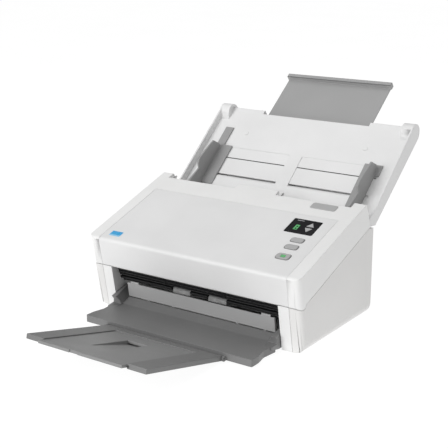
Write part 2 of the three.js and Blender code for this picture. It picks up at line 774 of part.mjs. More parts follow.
place("cover_frame", coverFrame(), materials.white);
place("front_panel", frontPanel(), materials.panel);
place("display_window", displayWindow(), materials.window);
place("display_digit", displayDigit(), materials.digit);
Object.keys(CONTROLS).forEach((name) => place(name, control(name), materials.button));
place("power_lamp", powerLamp(), materials.digit);
place("release_button", releaseButton(), materials.button);
place("latch_shaft", latchShaft(), materials.steel);
mirrored(latchHook).forEach(([word, solid]) => place(`latch_hook_${word}`, solid, materials.black));
place("upper_guide", upperGuide(), materials.black);
place("upper_sensor", sensor(6.3, 17, 60), materials.black);
place("upper_glass", sensorGlass(3.5, 6, 60), materials.glass);
place("pad_holder", padHolder(), materials.black);
place("separation_pad", separationPad(), materials.darkRubber);
place("drive_idler", idler(DRIVE_ALONG), materials.black);
place("exit_idler", idler(EXIT_ALONG), materials.black);
place("control_board", controlBoard(), materials.board);
mirrored(hingePin).forEach(([word, solid]) => place(`hinge_pin_${word}`, solid, materials.steel));

// ---------------------------------------------------------------- input tray

const SLOT = { from: 9.8, to: 130.5 };
const RACK = { pitch: 6, tooth: 0.6, level: [-8.4, -5.4] };
const GUIDE = { inner: 106.5, outer: 133, fin: 126 };
const SHEET_LEVEL = -1.6;

// the tray's side walls end in a round nose, and a boss of the same round stands on the deck beside it
const NOSE = { at: [112, 4], radius: 12.5 };
const WALL_SPAN = [152, 154.5];
const BOSS_INNER = 138;

function trayWall(sign) {
  const pivotAlong = (PIVOT.y - TRAY.y) * Math.cos(TRAY.wall) + (PIVOT.z - TRAY.z) * Math.sin(TRAY.wall);
  const pivotAbove = (PIVOT.z - TRAY.z) * Math.cos(TRAY.wall) - (PIVOT.y - TRAY.y) * Math.sin(TRAY.wall);
  const outline = [
    ...arc([pivotAlong, pivotAbove], 7.5, 110, 247, 9),
    [-37, -8.5],
    ...arc(NOSE.at, NOSE.radius, -90, 110, 14),
    [-24, 9.5],
  ];
  const boss = [[97, 5], [118, -3.4], ...arc(NOSE.at, NOSE.radius, -36, 140, 12)];
  return join(
    side(outline, ...spanX(sign, ...WALL_SPAN), wallFrame),
    side(boss, ...spanX(sign, BOSS_INNER, WALL_SPAN[0] + 0.5), wallFrame),
    rod(...spanX(sign, 142.8, 153), PIVOT, 2.5, 16),
  );
}

function inputTray() {
  const deck = join(
    box([-152.5, 152.5], [-28, DECK_TOP], [-SKIN, 0], deckFrame),
    box([-MOUTH + 0.5, MOUTH - 0.5], [-46, -27], [-SKIN, 0], deckFrame),
  );
  const rail = box([-152.5, 152.5], [115.5, 120.5], [-3.4, 6], wallFrame);
  const notch = box([-85.5, 85.5], [113.5, 140], [-12, 20], wallFrame);
  const riser = box([-85.5, 85.5], [111.5, 113.6], [-0.9, 5], wallFrame);
  const marks = [-95.8, 95.8].map((x) => post(x, 75.3, -1, 0.15, 3, 16, deckFrame));
  const grooves = [-1, 1].flatMap((sign) => [
    box(spanX(sign, 10, GUIDE.inner + 1), [-3.8, 48.3], [-0.8, 3], deckFrame),
    box(spanX(sign, SLOT.from, SLOT.to), [-1.5, 1.5], [-6, 3], deckFrame),
    box(spanX(sign, SLOT.from, SLOT.to), [28.9, 30.5], [-1.7, 3], deckFrame),
  ]);
  const body = join(deck, rail, riser, trayWall(-1), trayWall(1), ...marks);
  return cut(body, notch, ...grooves);
}

function trayBackPanel() {
  const rackCover = [[-20, -12], [14, -12], [14, -10.4], [-18.4, -10.4], [-18.4, -4.8], [-20, -4.8]];
  const wide = side(rackCover, -134, 134, wallFrame);
  const rise = side([[12.4, -12], [14, -12], [14, -4.2], [12.4, -4.2]], -134, 134, wallFrame);
  const channel = box([-90, 90], [12.4, 112], [-5.8, -4.2], wallFrame);
  const rails = [-1, 1].map((s) => box(spanX(s, 86, 90), [16, 112], [-5, -2], wallFrame));
  return join(wide, rise, channel, ...rails);
}

function trayExtension() {
  const [lip, end] = [193.5, 200.3];
  const sheet = box([-83, 83], [90, end - 0.5], [SHEET_LEVEL - 2, SHEET_LEVEL], wallFrame);
  const edge = rounded([[lip, -3.6, 0.8], [end, -3.6, 0.8], [end, 4.7, 1], [lip, 4.7, 1]], 3);
  return join(sheet, side(edge, -SHEET, SHEET, wallFrame));
}

function rackBar(sign) {
  const edge = sign < 0 ? 1 : -1; // the left guide's rack passes above the pinion, the right one's below
  const pitch = Math.PI;
  const outline = [[-75, RACK.pitch + 4], [-75, RACK.pitch + 1]];
  for (let i = -24; i <= 1; i += 1) {
    const x = (i + 0.5) * pitch; // a gap between two teeth faces the pinion
    outline.push([x - 0.65, RACK.pitch + RACK.tooth], [x - 0.25, RACK.pitch - RACK.tooth]);
    outline.push([x + 0.25, RACK.pitch - RACK.tooth], [x + 0.65, RACK.pitch + RACK.tooth]);
  }
  outline.push([8.5, RACK.pitch + 1], [8.5, RACK.pitch + 4]);
  const placed = outline.map(([x, s]) => (edge > 0 ? [x, s] : [-x, -s]));
  const arm = [[-122, -1.2], [-122, 10], [-74, 10], [-74, 7.5], [-114, 7.5], [-114, -1.2]];
  const turnedArm = arm.map(([x, s]) => [x * edge, s * edge]);
  const pieces = [placed, turnedArm].map((points) => flat(points.reverse(), ...RACK.level, deckFrame));
  return join(...pieces);
}

function guide(sign) {
  const plateInner = GUIDE.inner;
  const plate = sign < 0
    ? [[-133, -20], [-plateInner, -20], [-plateInner, 49], [-120, 49], [-120, 81.5], [-133, 81.5]]
    : [[plateInner, -21], [124, -21], [124, 32], [133, 32], [133, 50], [plateInner, 50]];
  const fin = [
    [-36, GAP], [46, GAP], [46, 9], [43.5, 14], [40, 22], [18, 26.5],
    [2, 29.5], [-5, 28], [-9.5, 20], [-21, 22.5], [-36, 25.5],
  ];
  const finSpan = spanX(sign, GUIDE.fin - 1.5, GUIDE.fin + 1);
  const stem = box(spanX(sign, 114, 122), [-1.2, 1.2], [-8.2, 1], deckFrame);
  return join(
    flat(plate, GAP, 2.2, deckFrame),
    side(fin, ...finSpan, deckFrame),
    stem,
    rackBar(sign),
  );
}

function guidePinion() {
  const outline = [];
  const teeth = 12;
  for (let i = 0; i < teeth; i += 1) {
    const middle = (i * 2 * Math.PI) / teeth;
    for (const [turn, radius] of [[-0.11, 5.2], [-0.045, 6.55], [0.045, 6.55], [0.11, 5.2]]) {
      outline.push([radius * Math.cos(middle + turn), radius * Math.sin(middle + turn)]);
    }
  }
  return join(flat(outline, ...RACK.level, deckFrame), post(0, 0, -9.6, -3.2, 2.5, 16, deckFrame));
}

place("input_tray", inputTray(), materials.white);
place("tray_back_panel", trayBackPanel(), materials.white);
place("tray_extension", trayExtension(), materials.sheet);
mirrored(guide).forEach(([word, solid]) => place(`guide_${word}`, solid, materials.guide));
place("guide_pinion", guidePinion(), materials.black);

// ---------------------------------------------------------------- output tray

const PLATE_END = 150;

function cheek(sign) {
  const outline = [
    [-100, 8], [-84, 4.6], [-70, 4.6], [-66.5, 9], [-62.5, 16],
    [-62.5, 30.3], [-92, 22], [-88, 17], [-88.5, 12.6], [-100, 11],
  ];
  const block = side(outline, ...spanX(sign, 112.4, 125.2));
  const bevel = [[100, 12], [112.6, 12], [122.8, 32], [100, 32]].map(([x, z]) => [sign * x, z]);
  const cleared = cut(block, facing(sign > 0 ? bevel : bevel.reverse(), -110, -50));
  return join(cleared, rod(...spanX(sign, 124, 128.4), OUT_PIVOT, 2.3, 16));
}

function outputTray() {
  const slope = [[-100, 2.3], [-84, 2.3], [-72.2, 14.2], [-71.8, 17.4], [-86, 11.1], [-100, 11.1]];
  const plan = rounded([
    [-125, -142.2, 2], [125, -142.2, 2], [125, -128, 12], [121.5, -112, 12], [124, -90, 0],
    [-124, -90, 0], [-121.5, -112, 12], [-125, -128, 12],
  ], 4);
  const plate = flat(plan, 2.3, 11.1);
  const hollow = box([-118.5, 118.5], [-139.6, -92], [0, 8.6]);
  const lugs = [-1, 1].map((s) => {
    const lug = [...arc([FLAP.y, FLAP.z], 3, 90, 270, 8), [-141, 2.3], [-141, FLAP.z + 3]];
    return cut(side(lug, ...spanX(s, 87, 89.5)), rod(...spanX(s, 86, 92), FLAP, 1.8, 12));
  });
  const body = join(cut(plate, hollow), side(slope, -112.6, 112.6));
  return join(body, cheek(-1), cheek(1), ...lugs);
}

function outputExtension() {
  const frame = join(
    box([-FLAP_HALF, FLAP_HALF], [-141.5, 0], [-3, 3], flapFrame),
    rod(-FLAP_HALF, FLAP_HALF, FLAP, 3, 24),
  );
  const bay = box([-BAR - GAP, BAR + GAP], [-143, -16], [-4, 4], flapFrame);
  const grooves = box([-BAR - 3, BAR + 3], [-143, -16], [-1, 1], flapFrame);
  const stubs = [-1, 1].map((s) => rod(...spanX(s, FLAP_HALF - 1, 89.5), FLAP, 1.5, 12));
  return join(cut(frame, bay, grooves), ...stubs);
}

function outputPlate() {
  const plate = join(
    box([-BAR, BAR], [-PLATE_END, -16.4], [-1.7, 1.7], flapFrame),
    box([-BAR - 2.7, BAR + 2.7], [-140, -16.4], [-0.7, 0.7], flapFrame),
  );
  // the finger scoop ramps down into a shallow pan and ends under the plate
  const pan = side([[-108, -1.5], [-41, -4.4], [-36.5, -4.4], [-36.5, -1.5]], -20.5, 11.5, flapFrame);
  const ramp = [[-112, 1.8], [-43, -3.2], [-38, -3.2], [-38, -1.4], [-43, -1.4], [-43, 5], [-112, 5]];
  const scoop = side(ramp, -19, 10, flapFrame);
  const nick = box([-14, -2], [-160, -PLATE_END + 1.5], [-3, 3], flapFrame);
  return cut(join(plate, pan), scoop, nick);
}

place("output_tray", outputTray(), materials.tray);
place("output_extension", outputExtension(), materials.tray);
place("output_plate", outputPlate(), materials.insert);

// the origin is on the floor, under the middle of the object's box
const reach = new THREE.Box3().setFromObject(part);
part.position.y = -(reach.min.y + reach.max.y) / 2;

export default part;
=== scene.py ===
"""Sheet fed document scanner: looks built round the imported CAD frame, in metres, +Z up."""
import json
import math

import bmesh
import bpy
from mathutils import Matrix, Vector
from mathutils.bvhtree import BVHTree


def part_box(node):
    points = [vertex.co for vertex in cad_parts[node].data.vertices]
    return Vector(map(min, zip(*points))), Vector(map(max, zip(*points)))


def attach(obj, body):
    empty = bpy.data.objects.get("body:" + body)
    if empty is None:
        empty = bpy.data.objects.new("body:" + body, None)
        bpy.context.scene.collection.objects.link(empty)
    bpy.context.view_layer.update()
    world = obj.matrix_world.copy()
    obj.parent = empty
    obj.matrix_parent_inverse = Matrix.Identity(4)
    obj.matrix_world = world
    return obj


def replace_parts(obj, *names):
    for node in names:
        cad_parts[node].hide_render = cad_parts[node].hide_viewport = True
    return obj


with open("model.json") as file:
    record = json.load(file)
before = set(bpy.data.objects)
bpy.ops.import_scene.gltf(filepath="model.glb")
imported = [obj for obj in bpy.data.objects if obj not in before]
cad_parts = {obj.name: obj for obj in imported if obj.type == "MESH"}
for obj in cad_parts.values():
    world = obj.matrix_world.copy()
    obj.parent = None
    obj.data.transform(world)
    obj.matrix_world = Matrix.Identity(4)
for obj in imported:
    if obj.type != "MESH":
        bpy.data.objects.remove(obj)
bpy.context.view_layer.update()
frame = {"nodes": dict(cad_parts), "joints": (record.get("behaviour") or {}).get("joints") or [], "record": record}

MM = 0.001
RIGHT = Vector((1, 0, 0))
UP = Vector((0, 0, 1))
NODES = frame["nodes"]
BODY_OF = {node: body for body, members in frame["record"]["behaviour"]["bodies"].items() for node in members}


# ---------------------------------------------------------------- places taken from the frame

def joint(name):
    return next(j for j in frame["joints"] if j["name"] == name)


def spread(node, direction):
    """Lowest and highest reach of a node along a direction."""
    reach = [v.co.dot(direction) for v in NODES[node].data.vertices]
    return min(reach), max(reach)


def middle(node, direction):
    return sum(spread(node, direction)) / 2


def local(along, normal, start, level):
    """A frame with the machine's X, Y running along and Z on the normal, its origin at start and level."""
    origin = along * start + normal * level
    return Matrix((
        (1, 0, 0, 0),
        (0, along.y, normal.y, origin.y),
        (0, along.z, normal.z, origin.z),
        (0, 0, 0, 1),
    ))


def top_frame():
    """On the cover's sloping top: X across, Y up the slope from its front edge, Z off the surface."""
    normal = -Vector(joint("release_press")["axis"]).normalized()
    along = normal.cross(RIGHT)
    button_along, button_rise = 29.5 * MM, 1.0 * MM
    return local(along, normal, middle("power_button", along) - button_along,
                 spread("power_button", normal)[1] - button_rise)


def deck_frame():
    """On the input tray's paper surface, from the line of the guides' pinion."""
    normal = Vector(joint("guide_pinion_turn")["axis"]).normalized()
    along = normal.cross(RIGHT)
    pinion_top = -3.2 * MM
    return local(along, normal, middle("guide_pinion", along), spread("guide_pinion", normal)[1] - pinion_top)


def wall_frame():
    """Along the input tray's side walls and its extension."""
    along = Vector(joint("tray_extension_slide")["axis"]).normalized()
    normal = RIGHT.cross(along)
    lip_end, lip_top = 200.3 * MM, 4.7 * MM
    return local(along, normal, spread("tray_extension", along)[1] - lip_end,
                 spread("tray_extension", normal)[1] - lip_top)


TOP = top_frame()
DECK = deck_frame()
WALL = wall_frame()


# ---------------------------------------------------------------- materials

class Graph:
    """A short way to write a node material."""

    def __init__(self, name):
        self.material = bpy.data.materials.new(name)
        self.material.use_nodes = True
        self.nodes = self.material.node_tree.nodes
        self.links = self.material.node_tree.links
        self.shader = self.nodes["Principled BSDF"]
        self.place = self.add("ShaderNodeTexCoord").outputs["Object"]

    def add(self, kind, **settings):
        node = self.nodes.new(kind)
        for key, value in settings.items():
            setattr(node, key, value)
        return node

    def put(self, source, node, socket):
        if isinstance(source, bpy.types.NodeSocket):
            self.links.new(source, node.inputs[socket])
        else:
            node.inputs[socket].default_value = source

    def noise(self, scale, detail=3.0, stretch=None):
        node = self.add("ShaderNodeTexNoise")
        self.put(float(scale), node, "Scale")
        self.put(float(detail), node, "Detail")
        place = self.place
        if stretch:
            mapping = self.add("ShaderNodeMapping")
            self.put(stretch, mapping, "Scale")
            self.put(self.place, mapping, "Vector")
            place = mapping.outputs[0]
        self.put(place, node, "Vector")
        return node.outputs["Fac"]

    def math(self, operation, a, b=0.0, clamp=False):
        node = self.add("ShaderNodeMath", operation=operation, use_clamp=clamp)
        self.put(a, node, 0)
        self.put(b, node, 1)
        return node.outputs[0]

    def remap(self, value, low, high, to_low=0.0, to_high=1.0):
        node = self.add("ShaderNodeMapRange")
        for socket, amount in enumerate((value, low, high, to_low, to_high)):
            self.put(amount, node, socket)
        return node.outputs[0]

    def mix(self, share, a, b):
        node = self.add("ShaderNodeMix", data_type="RGBA")
        self.put(share, node, "Factor")
        self.put(a, node, 6)
        self.put(b, node, 7)
        return node.outputs[2]

    def bump(self, height, strength, distance, normal=None):
        node = self.add("ShaderNodeBump")
        self.put(strength, node, "Strength")
        self.put(distance, node, "Distance")
        self.put(height, node, "Height")
        if normal:
            self.put(normal, node, "Normal")
        return node.outputs[0]

    def edges(self, radius):
        """Near one along outside and inside edges, zero on open faces, and the rounded normal."""
        rounded = self.add("ShaderNodeBevel", samples=4)
        self.put(radius, rounded, "Radius")
        flat = self.add("ShaderNodeNewGeometry").outputs["Normal"]
        dot = self.add("ShaderNodeVectorMath", operation="DOT_PRODUCT")
        self.put(rounded.outputs[0], dot, 0)
        self.put(flat, dot, 1)
        return self.remap(dot.outputs["Value"], 1.0, 0.86), rounded.outputs[0]

    def finish(self, **inputs):
        for socket, value in inputs.items():
            self.put(value, self.shader, socket.replace("_", " "))
        return self.material


def shade(colour, factor):
    return (*[min(1.0, c * factor) for c in colour[:3]], 1.0)


def moulded(name, colour, roughness=0.45, grain=1400, depth=0.12, edge=1.08, variation=0.03, sheen=0.5):
    """Injection moulded plastic: spark-eroded grain, slow colour drift, polished edges, and edges painted paler,
    partly for wear and partly as a painted highlight.
    """
    g = Graph(name)
    # edge mask: paler colour along outside and inside edges, partly edge wear and partly painted highlight
    edge_wear_and_highlight, rounded = g.edges(0.7 * MM)
    drift = g.remap(g.noise(9, 4), 0.35, 0.65)
    body = g.mix(drift, shade(colour, 1 - variation), shade(colour, 1 + variation))
    scuff = g.remap(g.noise(60, 6), 0.55, 0.75)
    patchy_edge_wear_and_highlight = g.math("MULTIPLY", edge_wear_and_highlight, g.remap(scuff, 0.0, 1.0, 0.6, 1.0), clamp=True)
    # paler edges: partly wear, partly a painted highlight
    worn_and_highlit = g.mix(patchy_edge_wear_and_highlight, body, shade(colour, edge))
    gloss = g.remap(g.noise(35, 5), 0.3, 0.7, roughness - 0.04, roughness + 0.05)
    gloss = g.math("SUBTRACT", gloss, g.math("MULTIPLY", edge_wear_and_highlight, 0.1))
    texture = g.bump(g.noise(grain, 2), depth, 0.06 * MM, rounded)
    return g.finish(Base_Color=worn_and_highlit, Roughness=gloss, Normal=texture, Specular_IOR_Level=sheen)


def rubber(name, colour, grooves=0):
    """Soft rubber, dusty and dull, with fine moulded lines round it where it grips paper."""
    g = Graph(name)
    dust = g.remap(g.noise(220, 6), 0.45, 0.7)
    body = g.mix(dust, shade(colour, 1.0), shade(colour, 1.35))
    height = g.noise(1600, 4)
    if grooves:
        wave = g.add("ShaderNodeTexWave", bands_direction="X")
        g.put(float(grooves), wave, "Scale")
        g.put(g.place, wave, "Vector")
        height = g.math("ADD", height, g.math("MULTIPLY", wave.outputs["Fac"], 2.0))
    return g.finish(Base_Color=body, Roughness=g.remap(dust, 0, 1, 0.72, 0.9),
                    Normal=g.bump(height, 0.35, 0.1 * MM))


def ground_metal(name, colour, roughness, stretch):
    """Metal with fine grinding lines and a few darker stains."""
    g = Graph(name)
    lines = g.noise(500, 5, stretch)
    stain = g.remap(g.noise(14, 6), 0.5, 0.8)
    body = g.mix(stain, shade(colour, 1.0), shade(colour, 0.8))
    dull = g.remap(lines, 0.3, 0.7, roughness, roughness + 0.15)
    return g.finish(Base_Color=body, Metallic=1.0, Roughness=dull, Normal=g.bump(lines, 0.15, 0.05 * MM))


def display_glass(name):
    """Near-black glossy window with faint smudges."""
    g = Graph(name)
    smudge = g.remap(g.noise(45, 6), 0.45, 0.75)
    body = g.mix(smudge, (0.005, 0.005, 0.006, 1), (0.012, 0.012, 0.014, 1))
    return g.finish(Base_Color=body, Roughness=g.remap(smudge, 0, 1, 0.1, 0.25), Specular_IOR_Level=0.16,
                    Normal=g.bump(g.noise(900, 2), 0.02, 0.02 * MM))


def lamp(name, colour, strength):
    """A lit translucent cap, softly mottled."""
    g = Graph(name)
    mottled = g.mix(g.remap(g.noise(420, 3), 0.3, 0.7), shade(colour, 0.8), shade(colour, 1.15))
    return g.finish(Base_Color=mottled, Emission_Color=mottled, Emission_Strength=strength,
                    Roughness=g.remap(g.noise(90, 3), 0.3, 0.7, 0.25, 0.4),
                    Normal=g.bump(g.noise(1200, 2), 0.05, 0.03 * MM))


def circuit_board(name):
    """Green solder mask over copper tracks, with pale silk marks."""
    g = Graph(name)
    brick = g.add("ShaderNodeTexBrick")
    g.put(g.place, brick, "Vector")
    for socket, value in {"Scale": 160.0, "Mortar Size": 0.03, "Bias": -0.2}.items():
        g.put(value, brick, socket)
    g.put((0.02, 0.12, 0.04, 1), brick, "Color1")
    g.put((0.03, 0.17, 0.06, 1), brick, "Color2")
    g.put((0.05, 0.24, 0.09, 1), brick, "Mortar")
    gloss = g.remap(g.noise(80, 4), 0.3, 0.7, 0.25, 0.45)
    return g.finish(Base_Color=brick.outputs["Color"], Roughness=gloss,
                    Normal=g.bump(brick.outputs["Fac"], 0.2, 0.05 * MM))


def clear_glass(name):
    """Thin flat glass over the reading bars, dark behind, with a little dust."""
    g = Graph(name)
    dust = g.remap(g.noise(300, 6), 0.55, 0.8)
    return g.finish(Base_Color=g.mix(dust, (0.02, 0.03, 0.03, 1), (0.2, 0.2, 0.2, 1)),
                    Roughness=g.remap(dust, 0, 1, 0.04, 0.4), Specular_IOR_Level=0.6,
                    Normal=g.bump(dust, 0.03, 0.02 * MM))


def sticker_print(name):
    """Plain blue label film with a paler band at its foot, slightly wavy."""
    g = Graph(name)
    split = g.add("ShaderNodeSeparateXYZ")
    g.put(g.add("ShaderNodeTexCoord").outputs["Generated"], split, "Vector")
    band = g.remap(split.outputs["Y"], 0.24, 0.28, 1.0, 0.0)
    body = g.mix(band, (0.04, 0.37, 0.72, 1), (0.32, 0.62, 0.82, 1))
    drift = g.mix(g.remap(g.noise(90, 4), 0.3, 0.7), body, shade((0.05, 0.42, 0.75), 1.0))
    tint = g.mix(0.25, body, drift)
    gloss = g.remap(g.noise(60, 3), 0.3, 0.7, 0.25, 0.38)
    return g.finish(Base_Color=tint, Roughness=gloss, Normal=g.bump(g.noise(160, 3), 0.1, 0.1 * MM))


# edge sets how much paler the edges are painted, partly wear and partly painted highlight, strongest on black
# plastic
MATERIALS = {
    "white_shell": moulded("white_shell", (0.86, 0.86, 0.855), 0.46),
    "side_shell": moulded("side_shell", (0.78, 0.775, 0.765), 0.48),
    "front_shell": moulded("front_shell", (0.79, 0.79, 0.79), 0.44),
    "tray_white": moulded("tray_white", (0.8, 0.8, 0.8), 0.5),
    "guide_grey": moulded("guide_grey", (0.33, 0.33, 0.33), 0.42, edge=1.35),
    "sheet_grey": moulded("sheet_grey", (0.36, 0.36, 0.36), 0.45, edge=1.3),
    "tray_grey": moulded("tray_grey", (0.19, 0.19, 0.19), 0.5, edge=1.5, variation=0.05),
    "insert_grey": moulded("insert_grey", (0.25, 0.25, 0.25), 0.48, edge=1.4, variation=0.05),
    "lip_grey": moulded("lip_grey", (0.42, 0.42, 0.42), 0.4, edge=1.25),
    "black_plastic": moulded("black_plastic", (0.012, 0.012, 0.013), 0.4, edge=1.8, variation=0.1),
    "button_grey": moulded("button_grey", (0.44, 0.44, 0.44), 0.4, depth=0.06, edge=1.2),
    "display_black": display_glass("display_black"),
    "green_light": lamp("green_light", (0.066, 0.248, 0.093), 0.8),
    "roller_rubber": rubber("roller_rubber", (0.3, 0.3, 0.3)),
    "dark_rubber": rubber("dark_rubber", (0.02, 0.02, 0.021), grooves=300),
    "steel_rod": ground_metal("steel_rod", (0.45, 0.45, 0.47), 0.22, (0.05, 1, 1)),
    "zinc_plate": ground_metal("zinc_plate", (0.55, 0.56, 0.58), 0.35, (1, 0.05, 1)),
    "circuit_board": circuit_board("circuit_board"),
    "metal_port": ground_metal("metal_port", (0.55, 0.55, 0.56), 0.2, (1, 0.1, 1)),
    "sensor_glass": clear_glass("sensor_glass"),
    "label_blue": sticker_print("label_blue"),
    # dark grey for the painted shade in the gaps round the buttons
    "gap_shade_grey": moulded("gap_shade_grey", (0.24, 0.24, 0.24), 0.4, depth=0.06, edge=1.15),
    "mark_grey": lamp("mark_grey", (0.3, 0.3, 0.31), 0.15),
}
SLOT_OF = {s["node"]: s["material_slot"] for s in frame["record"]["subparts"]}


# ---------------------------------------------------------------- mesh work

def smooth(mesh, degrees=35):
    for face in mesh.polygons:
        face.use_smooth = True
    mesh.set_sharp_from_angle(angle=math.radians(degrees))


def piece_from(name, bm, slot, body, degrees=35):
    """A bmesh made into a finished piece that rides on a body."""
    bmesh.ops.recalc_face_normals(bm, faces=bm.faces)
    mesh = bpy.data.meshes.new(name)
    bm.to_mesh(mesh)
    bm.free()
    smooth(mesh, degrees)
    mesh.materials.append(MATERIALS[slot])
    piece = bpy.data.objects.new(name, mesh)
    bpy.context.scene.collection.objects.link(piece)
    flat_faces_stay_flat = piece.modifiers.new("weighted", "WEIGHTED_NORMAL")
    flat_faces_stay_flat.keep_sharp = True
    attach(piece, body)
    return piece


def break_edges(bm, width, sharper_than=28, segments=2):
    """Rounds the sharp edges, but leaves those whose rounding would stand off the surface."""
    limit = math.radians(sharper_than)
    shortest = 2.2 * width
    furthest = 0.75 * width
    surface = BVHTree.FromBMesh(bm)
    corner_of = bm.verts.layers.int.new("corner")
    for corner in bm.verts:
        corner[corner_of] = corner.index
    left_sharp = set()
    attempts = 8
    for _ in range(attempts):
        trial = bm.copy()
        corner_of = trial.verts.layers.int["corner"]
        sharp = [
            e for e in trial.edges
            if len(e.link_faces) == 2 and e.calc_face_angle(0.0) > limit and e.calc_length() > shortest
            and not left_sharp & {e.verts[0].index, e.verts[1].index}
        ]
        if not sharp:
            trial.free()
            return bm
        bmesh.ops.bevel(trial, geom=sharp, offset=width, segments=segments, affect="EDGES", profile=0.5,
                        clamp_overlap=False, miter_outer="SHARP")
        stray = {v[corner_of] for v in trial.verts if surface.find_nearest(v.co)[3] > furthest}
        if not stray:
            bm.free()
            return trial
        left_sharp |= stray
        trial.free()
    return bm


def refined(node, width):
    """The CAD node made again with clean faces and rounded edges, standing for the node."""
    same_point = 2e-6
    nearly_flat = math.radians(0.6)
    bm = bmesh.new()
    bm.from_mesh(NODES[node].data)
    bmesh.ops.remove_doubles(bm, verts=bm.verts, dist=same_point)
    bmesh.ops.dissolve_limit(bm, angle_limit=nearly_flat, verts=bm.verts, edges=bm.edges)
    bm = break_edges(bm, width)
    piece = piece_from(node + "_moulding", bm, SLOT_OF[node], BODY_OF[node])
    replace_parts(piece, node)
    return piece


def rectangle(x0, x1, y0, y1, radius, steps=5):
    """Points round a rectangle with rounded corners, in millimetres."""
    points = []
    corners = ((x1 - radius, y0 + radius, -90), (x1 - radius, y1 - radius, 0),
               (x0 + radius, y1 - radius, 90), (x0 + radius, y0 + radius, 180))
    for x, y, start in corners:
        for i in range(steps + 1):
            angle = math.radians(start + 90 * i / steps)
            points.append((x + radius * math.cos(angle), y + radius * math.sin(angle)))
    return points


def prism(bm, outline, low, high, where, crown=0.0):
    """Adds an outline pushed from low to high, in millimetres. Crown pulls in the top rim."""
    levels = [(low, 0.0), (high, 0.0)]
    if crown:
        levels = [(low, 0.0), (high - crown, 0.0), (high, crown)]
    rims = []
    middle_x = sum(p[0] for p in outline) / len(outline)
    middle_y = sum(p[1] for p in outline) / len(outline)
    for level, pull in levels:
        rim = []
        for x, y in outline:
            away = Vector((x - middle_x, y - middle_y))
            share = 1 - pull / max(away.length, 1e-6)
            point = Vector((middle_x + away.x * share, middle_y + away.y * share, level)) * MM
            rim.append(bm.verts.new(where @ point))
        rims.append(rim)
    count = len(outline)
    for lower, upper in zip(rims, rims[1:]):
        for i in range(count):
            j = (i + 1) % count
            bm.faces.new((lower[i], lower[j], upper[j], upper[i]))
    bm.faces.new(rims[0][::-1])
    bm.faces.new(rims[-1])


def turned(bm, profile, where, sides=32):
    """Adds a solid of revolution about a frame's Z from pairs of radius and height, in millimetres."""
    rings = []
    for radius, height in profile:
        ring = []
        for i in range(sides):
            angle = 2 * math.pi * i / sides
            point = Vector((radius * math.cos(angle), radius * math.sin(angle), height)) * MM
            ring.append(bm.verts.new(where @ point))
        rings.append(ring)
    for lower, upper in zip(rings, rings[1:]):
        for i in range(sides):
            j = (i + 1) % sides
            bm.faces.new((lower[i], lower[j], upper[j], upper[i]))
    bm.faces.new(rings[0][::-1])
    bm.faces.new(rings[-1])


# ---------------------------------------------------------------- the CAD pieces, refined

EDGE_WIDTH = {
    "base_frame": 0.25, "side_panel_left": 0.5, "side_panel_right": 0.5,
    "cover_frame": 0.5, "front_panel": 0.35,
    "input_tray": 0.4, "tray_back_panel": 0.4, "tray_extension": 0.35, "guide_left": 0.3, "guide_right": 0.3,
    "output_tray": 0.5, "output_extension": 0.5, "output_plate": 0.3, "exit_lip": 0.4,
    "button_upper": 0.35, "button_lower": 0.35, "power_button": 0.35, "release_button": 0.35,
}
PLAIN_EDGE = 0.2
ROLLER_JOINT = {
    "feed_roller": "feed_turn", "drive_roller": "drive_turn",
    "exit_roller_left": "exit_turn", "exit_roller_right": "exit_turn",
}


def ribbed_roller(node):
    """A rubber sleeve with fine ribs round it, standing for the plain CAD sleeve."""
    rib, groove, end_step = 1.6, 0.35, 0.6
    x0, x1 = (reach / MM for reach in spread(node, RIGHT))
    axle = Vector(joint(ROLLER_JOINT[node])["pos_m"])
    radius = (spread(node, UP)[1] - axle.z) / MM
    count = max(3, round((x1 - x0) / rib))
    step = (x1 - x0) / count
    profile = [(radius - end_step, x0)]
    for i in range(count):
        left = x0 + i * step
        profile.append((radius, left + 0.25 * step))
        profile.append((radius, left + 0.7 * step))
        profile.append((radius - groove, left + 0.85 * step))
    profile.append((radius - end_step, x1))
    lying = Matrix.Translation((0, axle.y, axle.z)) @ Matrix.Rotation(math.radians(90), 4, "Y")
    bm = bmesh.new()
    turned(bm, profile, lying, 40)
    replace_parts(piece_from(node + "_ribs", bm, SLOT_OF[node], BODY_OF[node], 25), node)


for node_name in NODES:
    if node_name in ROLLER_JOINT:
        ribbed_roller(node_name)
    else:
        refined(node_name, EDGE_WIDTH.get(node_name, PLAIN_EDGE) * MM)


# ---------------------------------------------------------------- small pieces the CAD leaves out

def slab(name, outline, low, high, where, slot, body, crown=0.0):
    bm = bmesh.new()
    prism(bm, outline, low, high, where, crown)
    return piece_from(name, bm, slot, body)


def button_gap_shades():
    """A thin dark frame round each round-cornered button, standing a hair above the panel: painted shade for the
    shadow in the gap round the button.
    """
    clear, wide, proud = 0.35, 0.75, 0.12
    along = (TOP.to_3x3() @ Vector((0, 1, 0))).normalized()
    origin = TOP.translation.dot(along)
    for node in ("button_upper", "button_lower", "power_button"):
        x0, x1 = (reach / MM for reach in spread(node, RIGHT))
        s0, s1 = ((reach - origin) / MM for reach in spread(node, along))
        bm = bmesh.new()
        frame_round(bm, (x0, x1, s0, s1), clear, wide, (-0.4, proud), TOP, 0.3 * (s1 - s0))
        # a dark ring in the gap round the button: painted shade
        piece_from(node + "_gap_shade", bm, "gap_shade_grey", "cover")


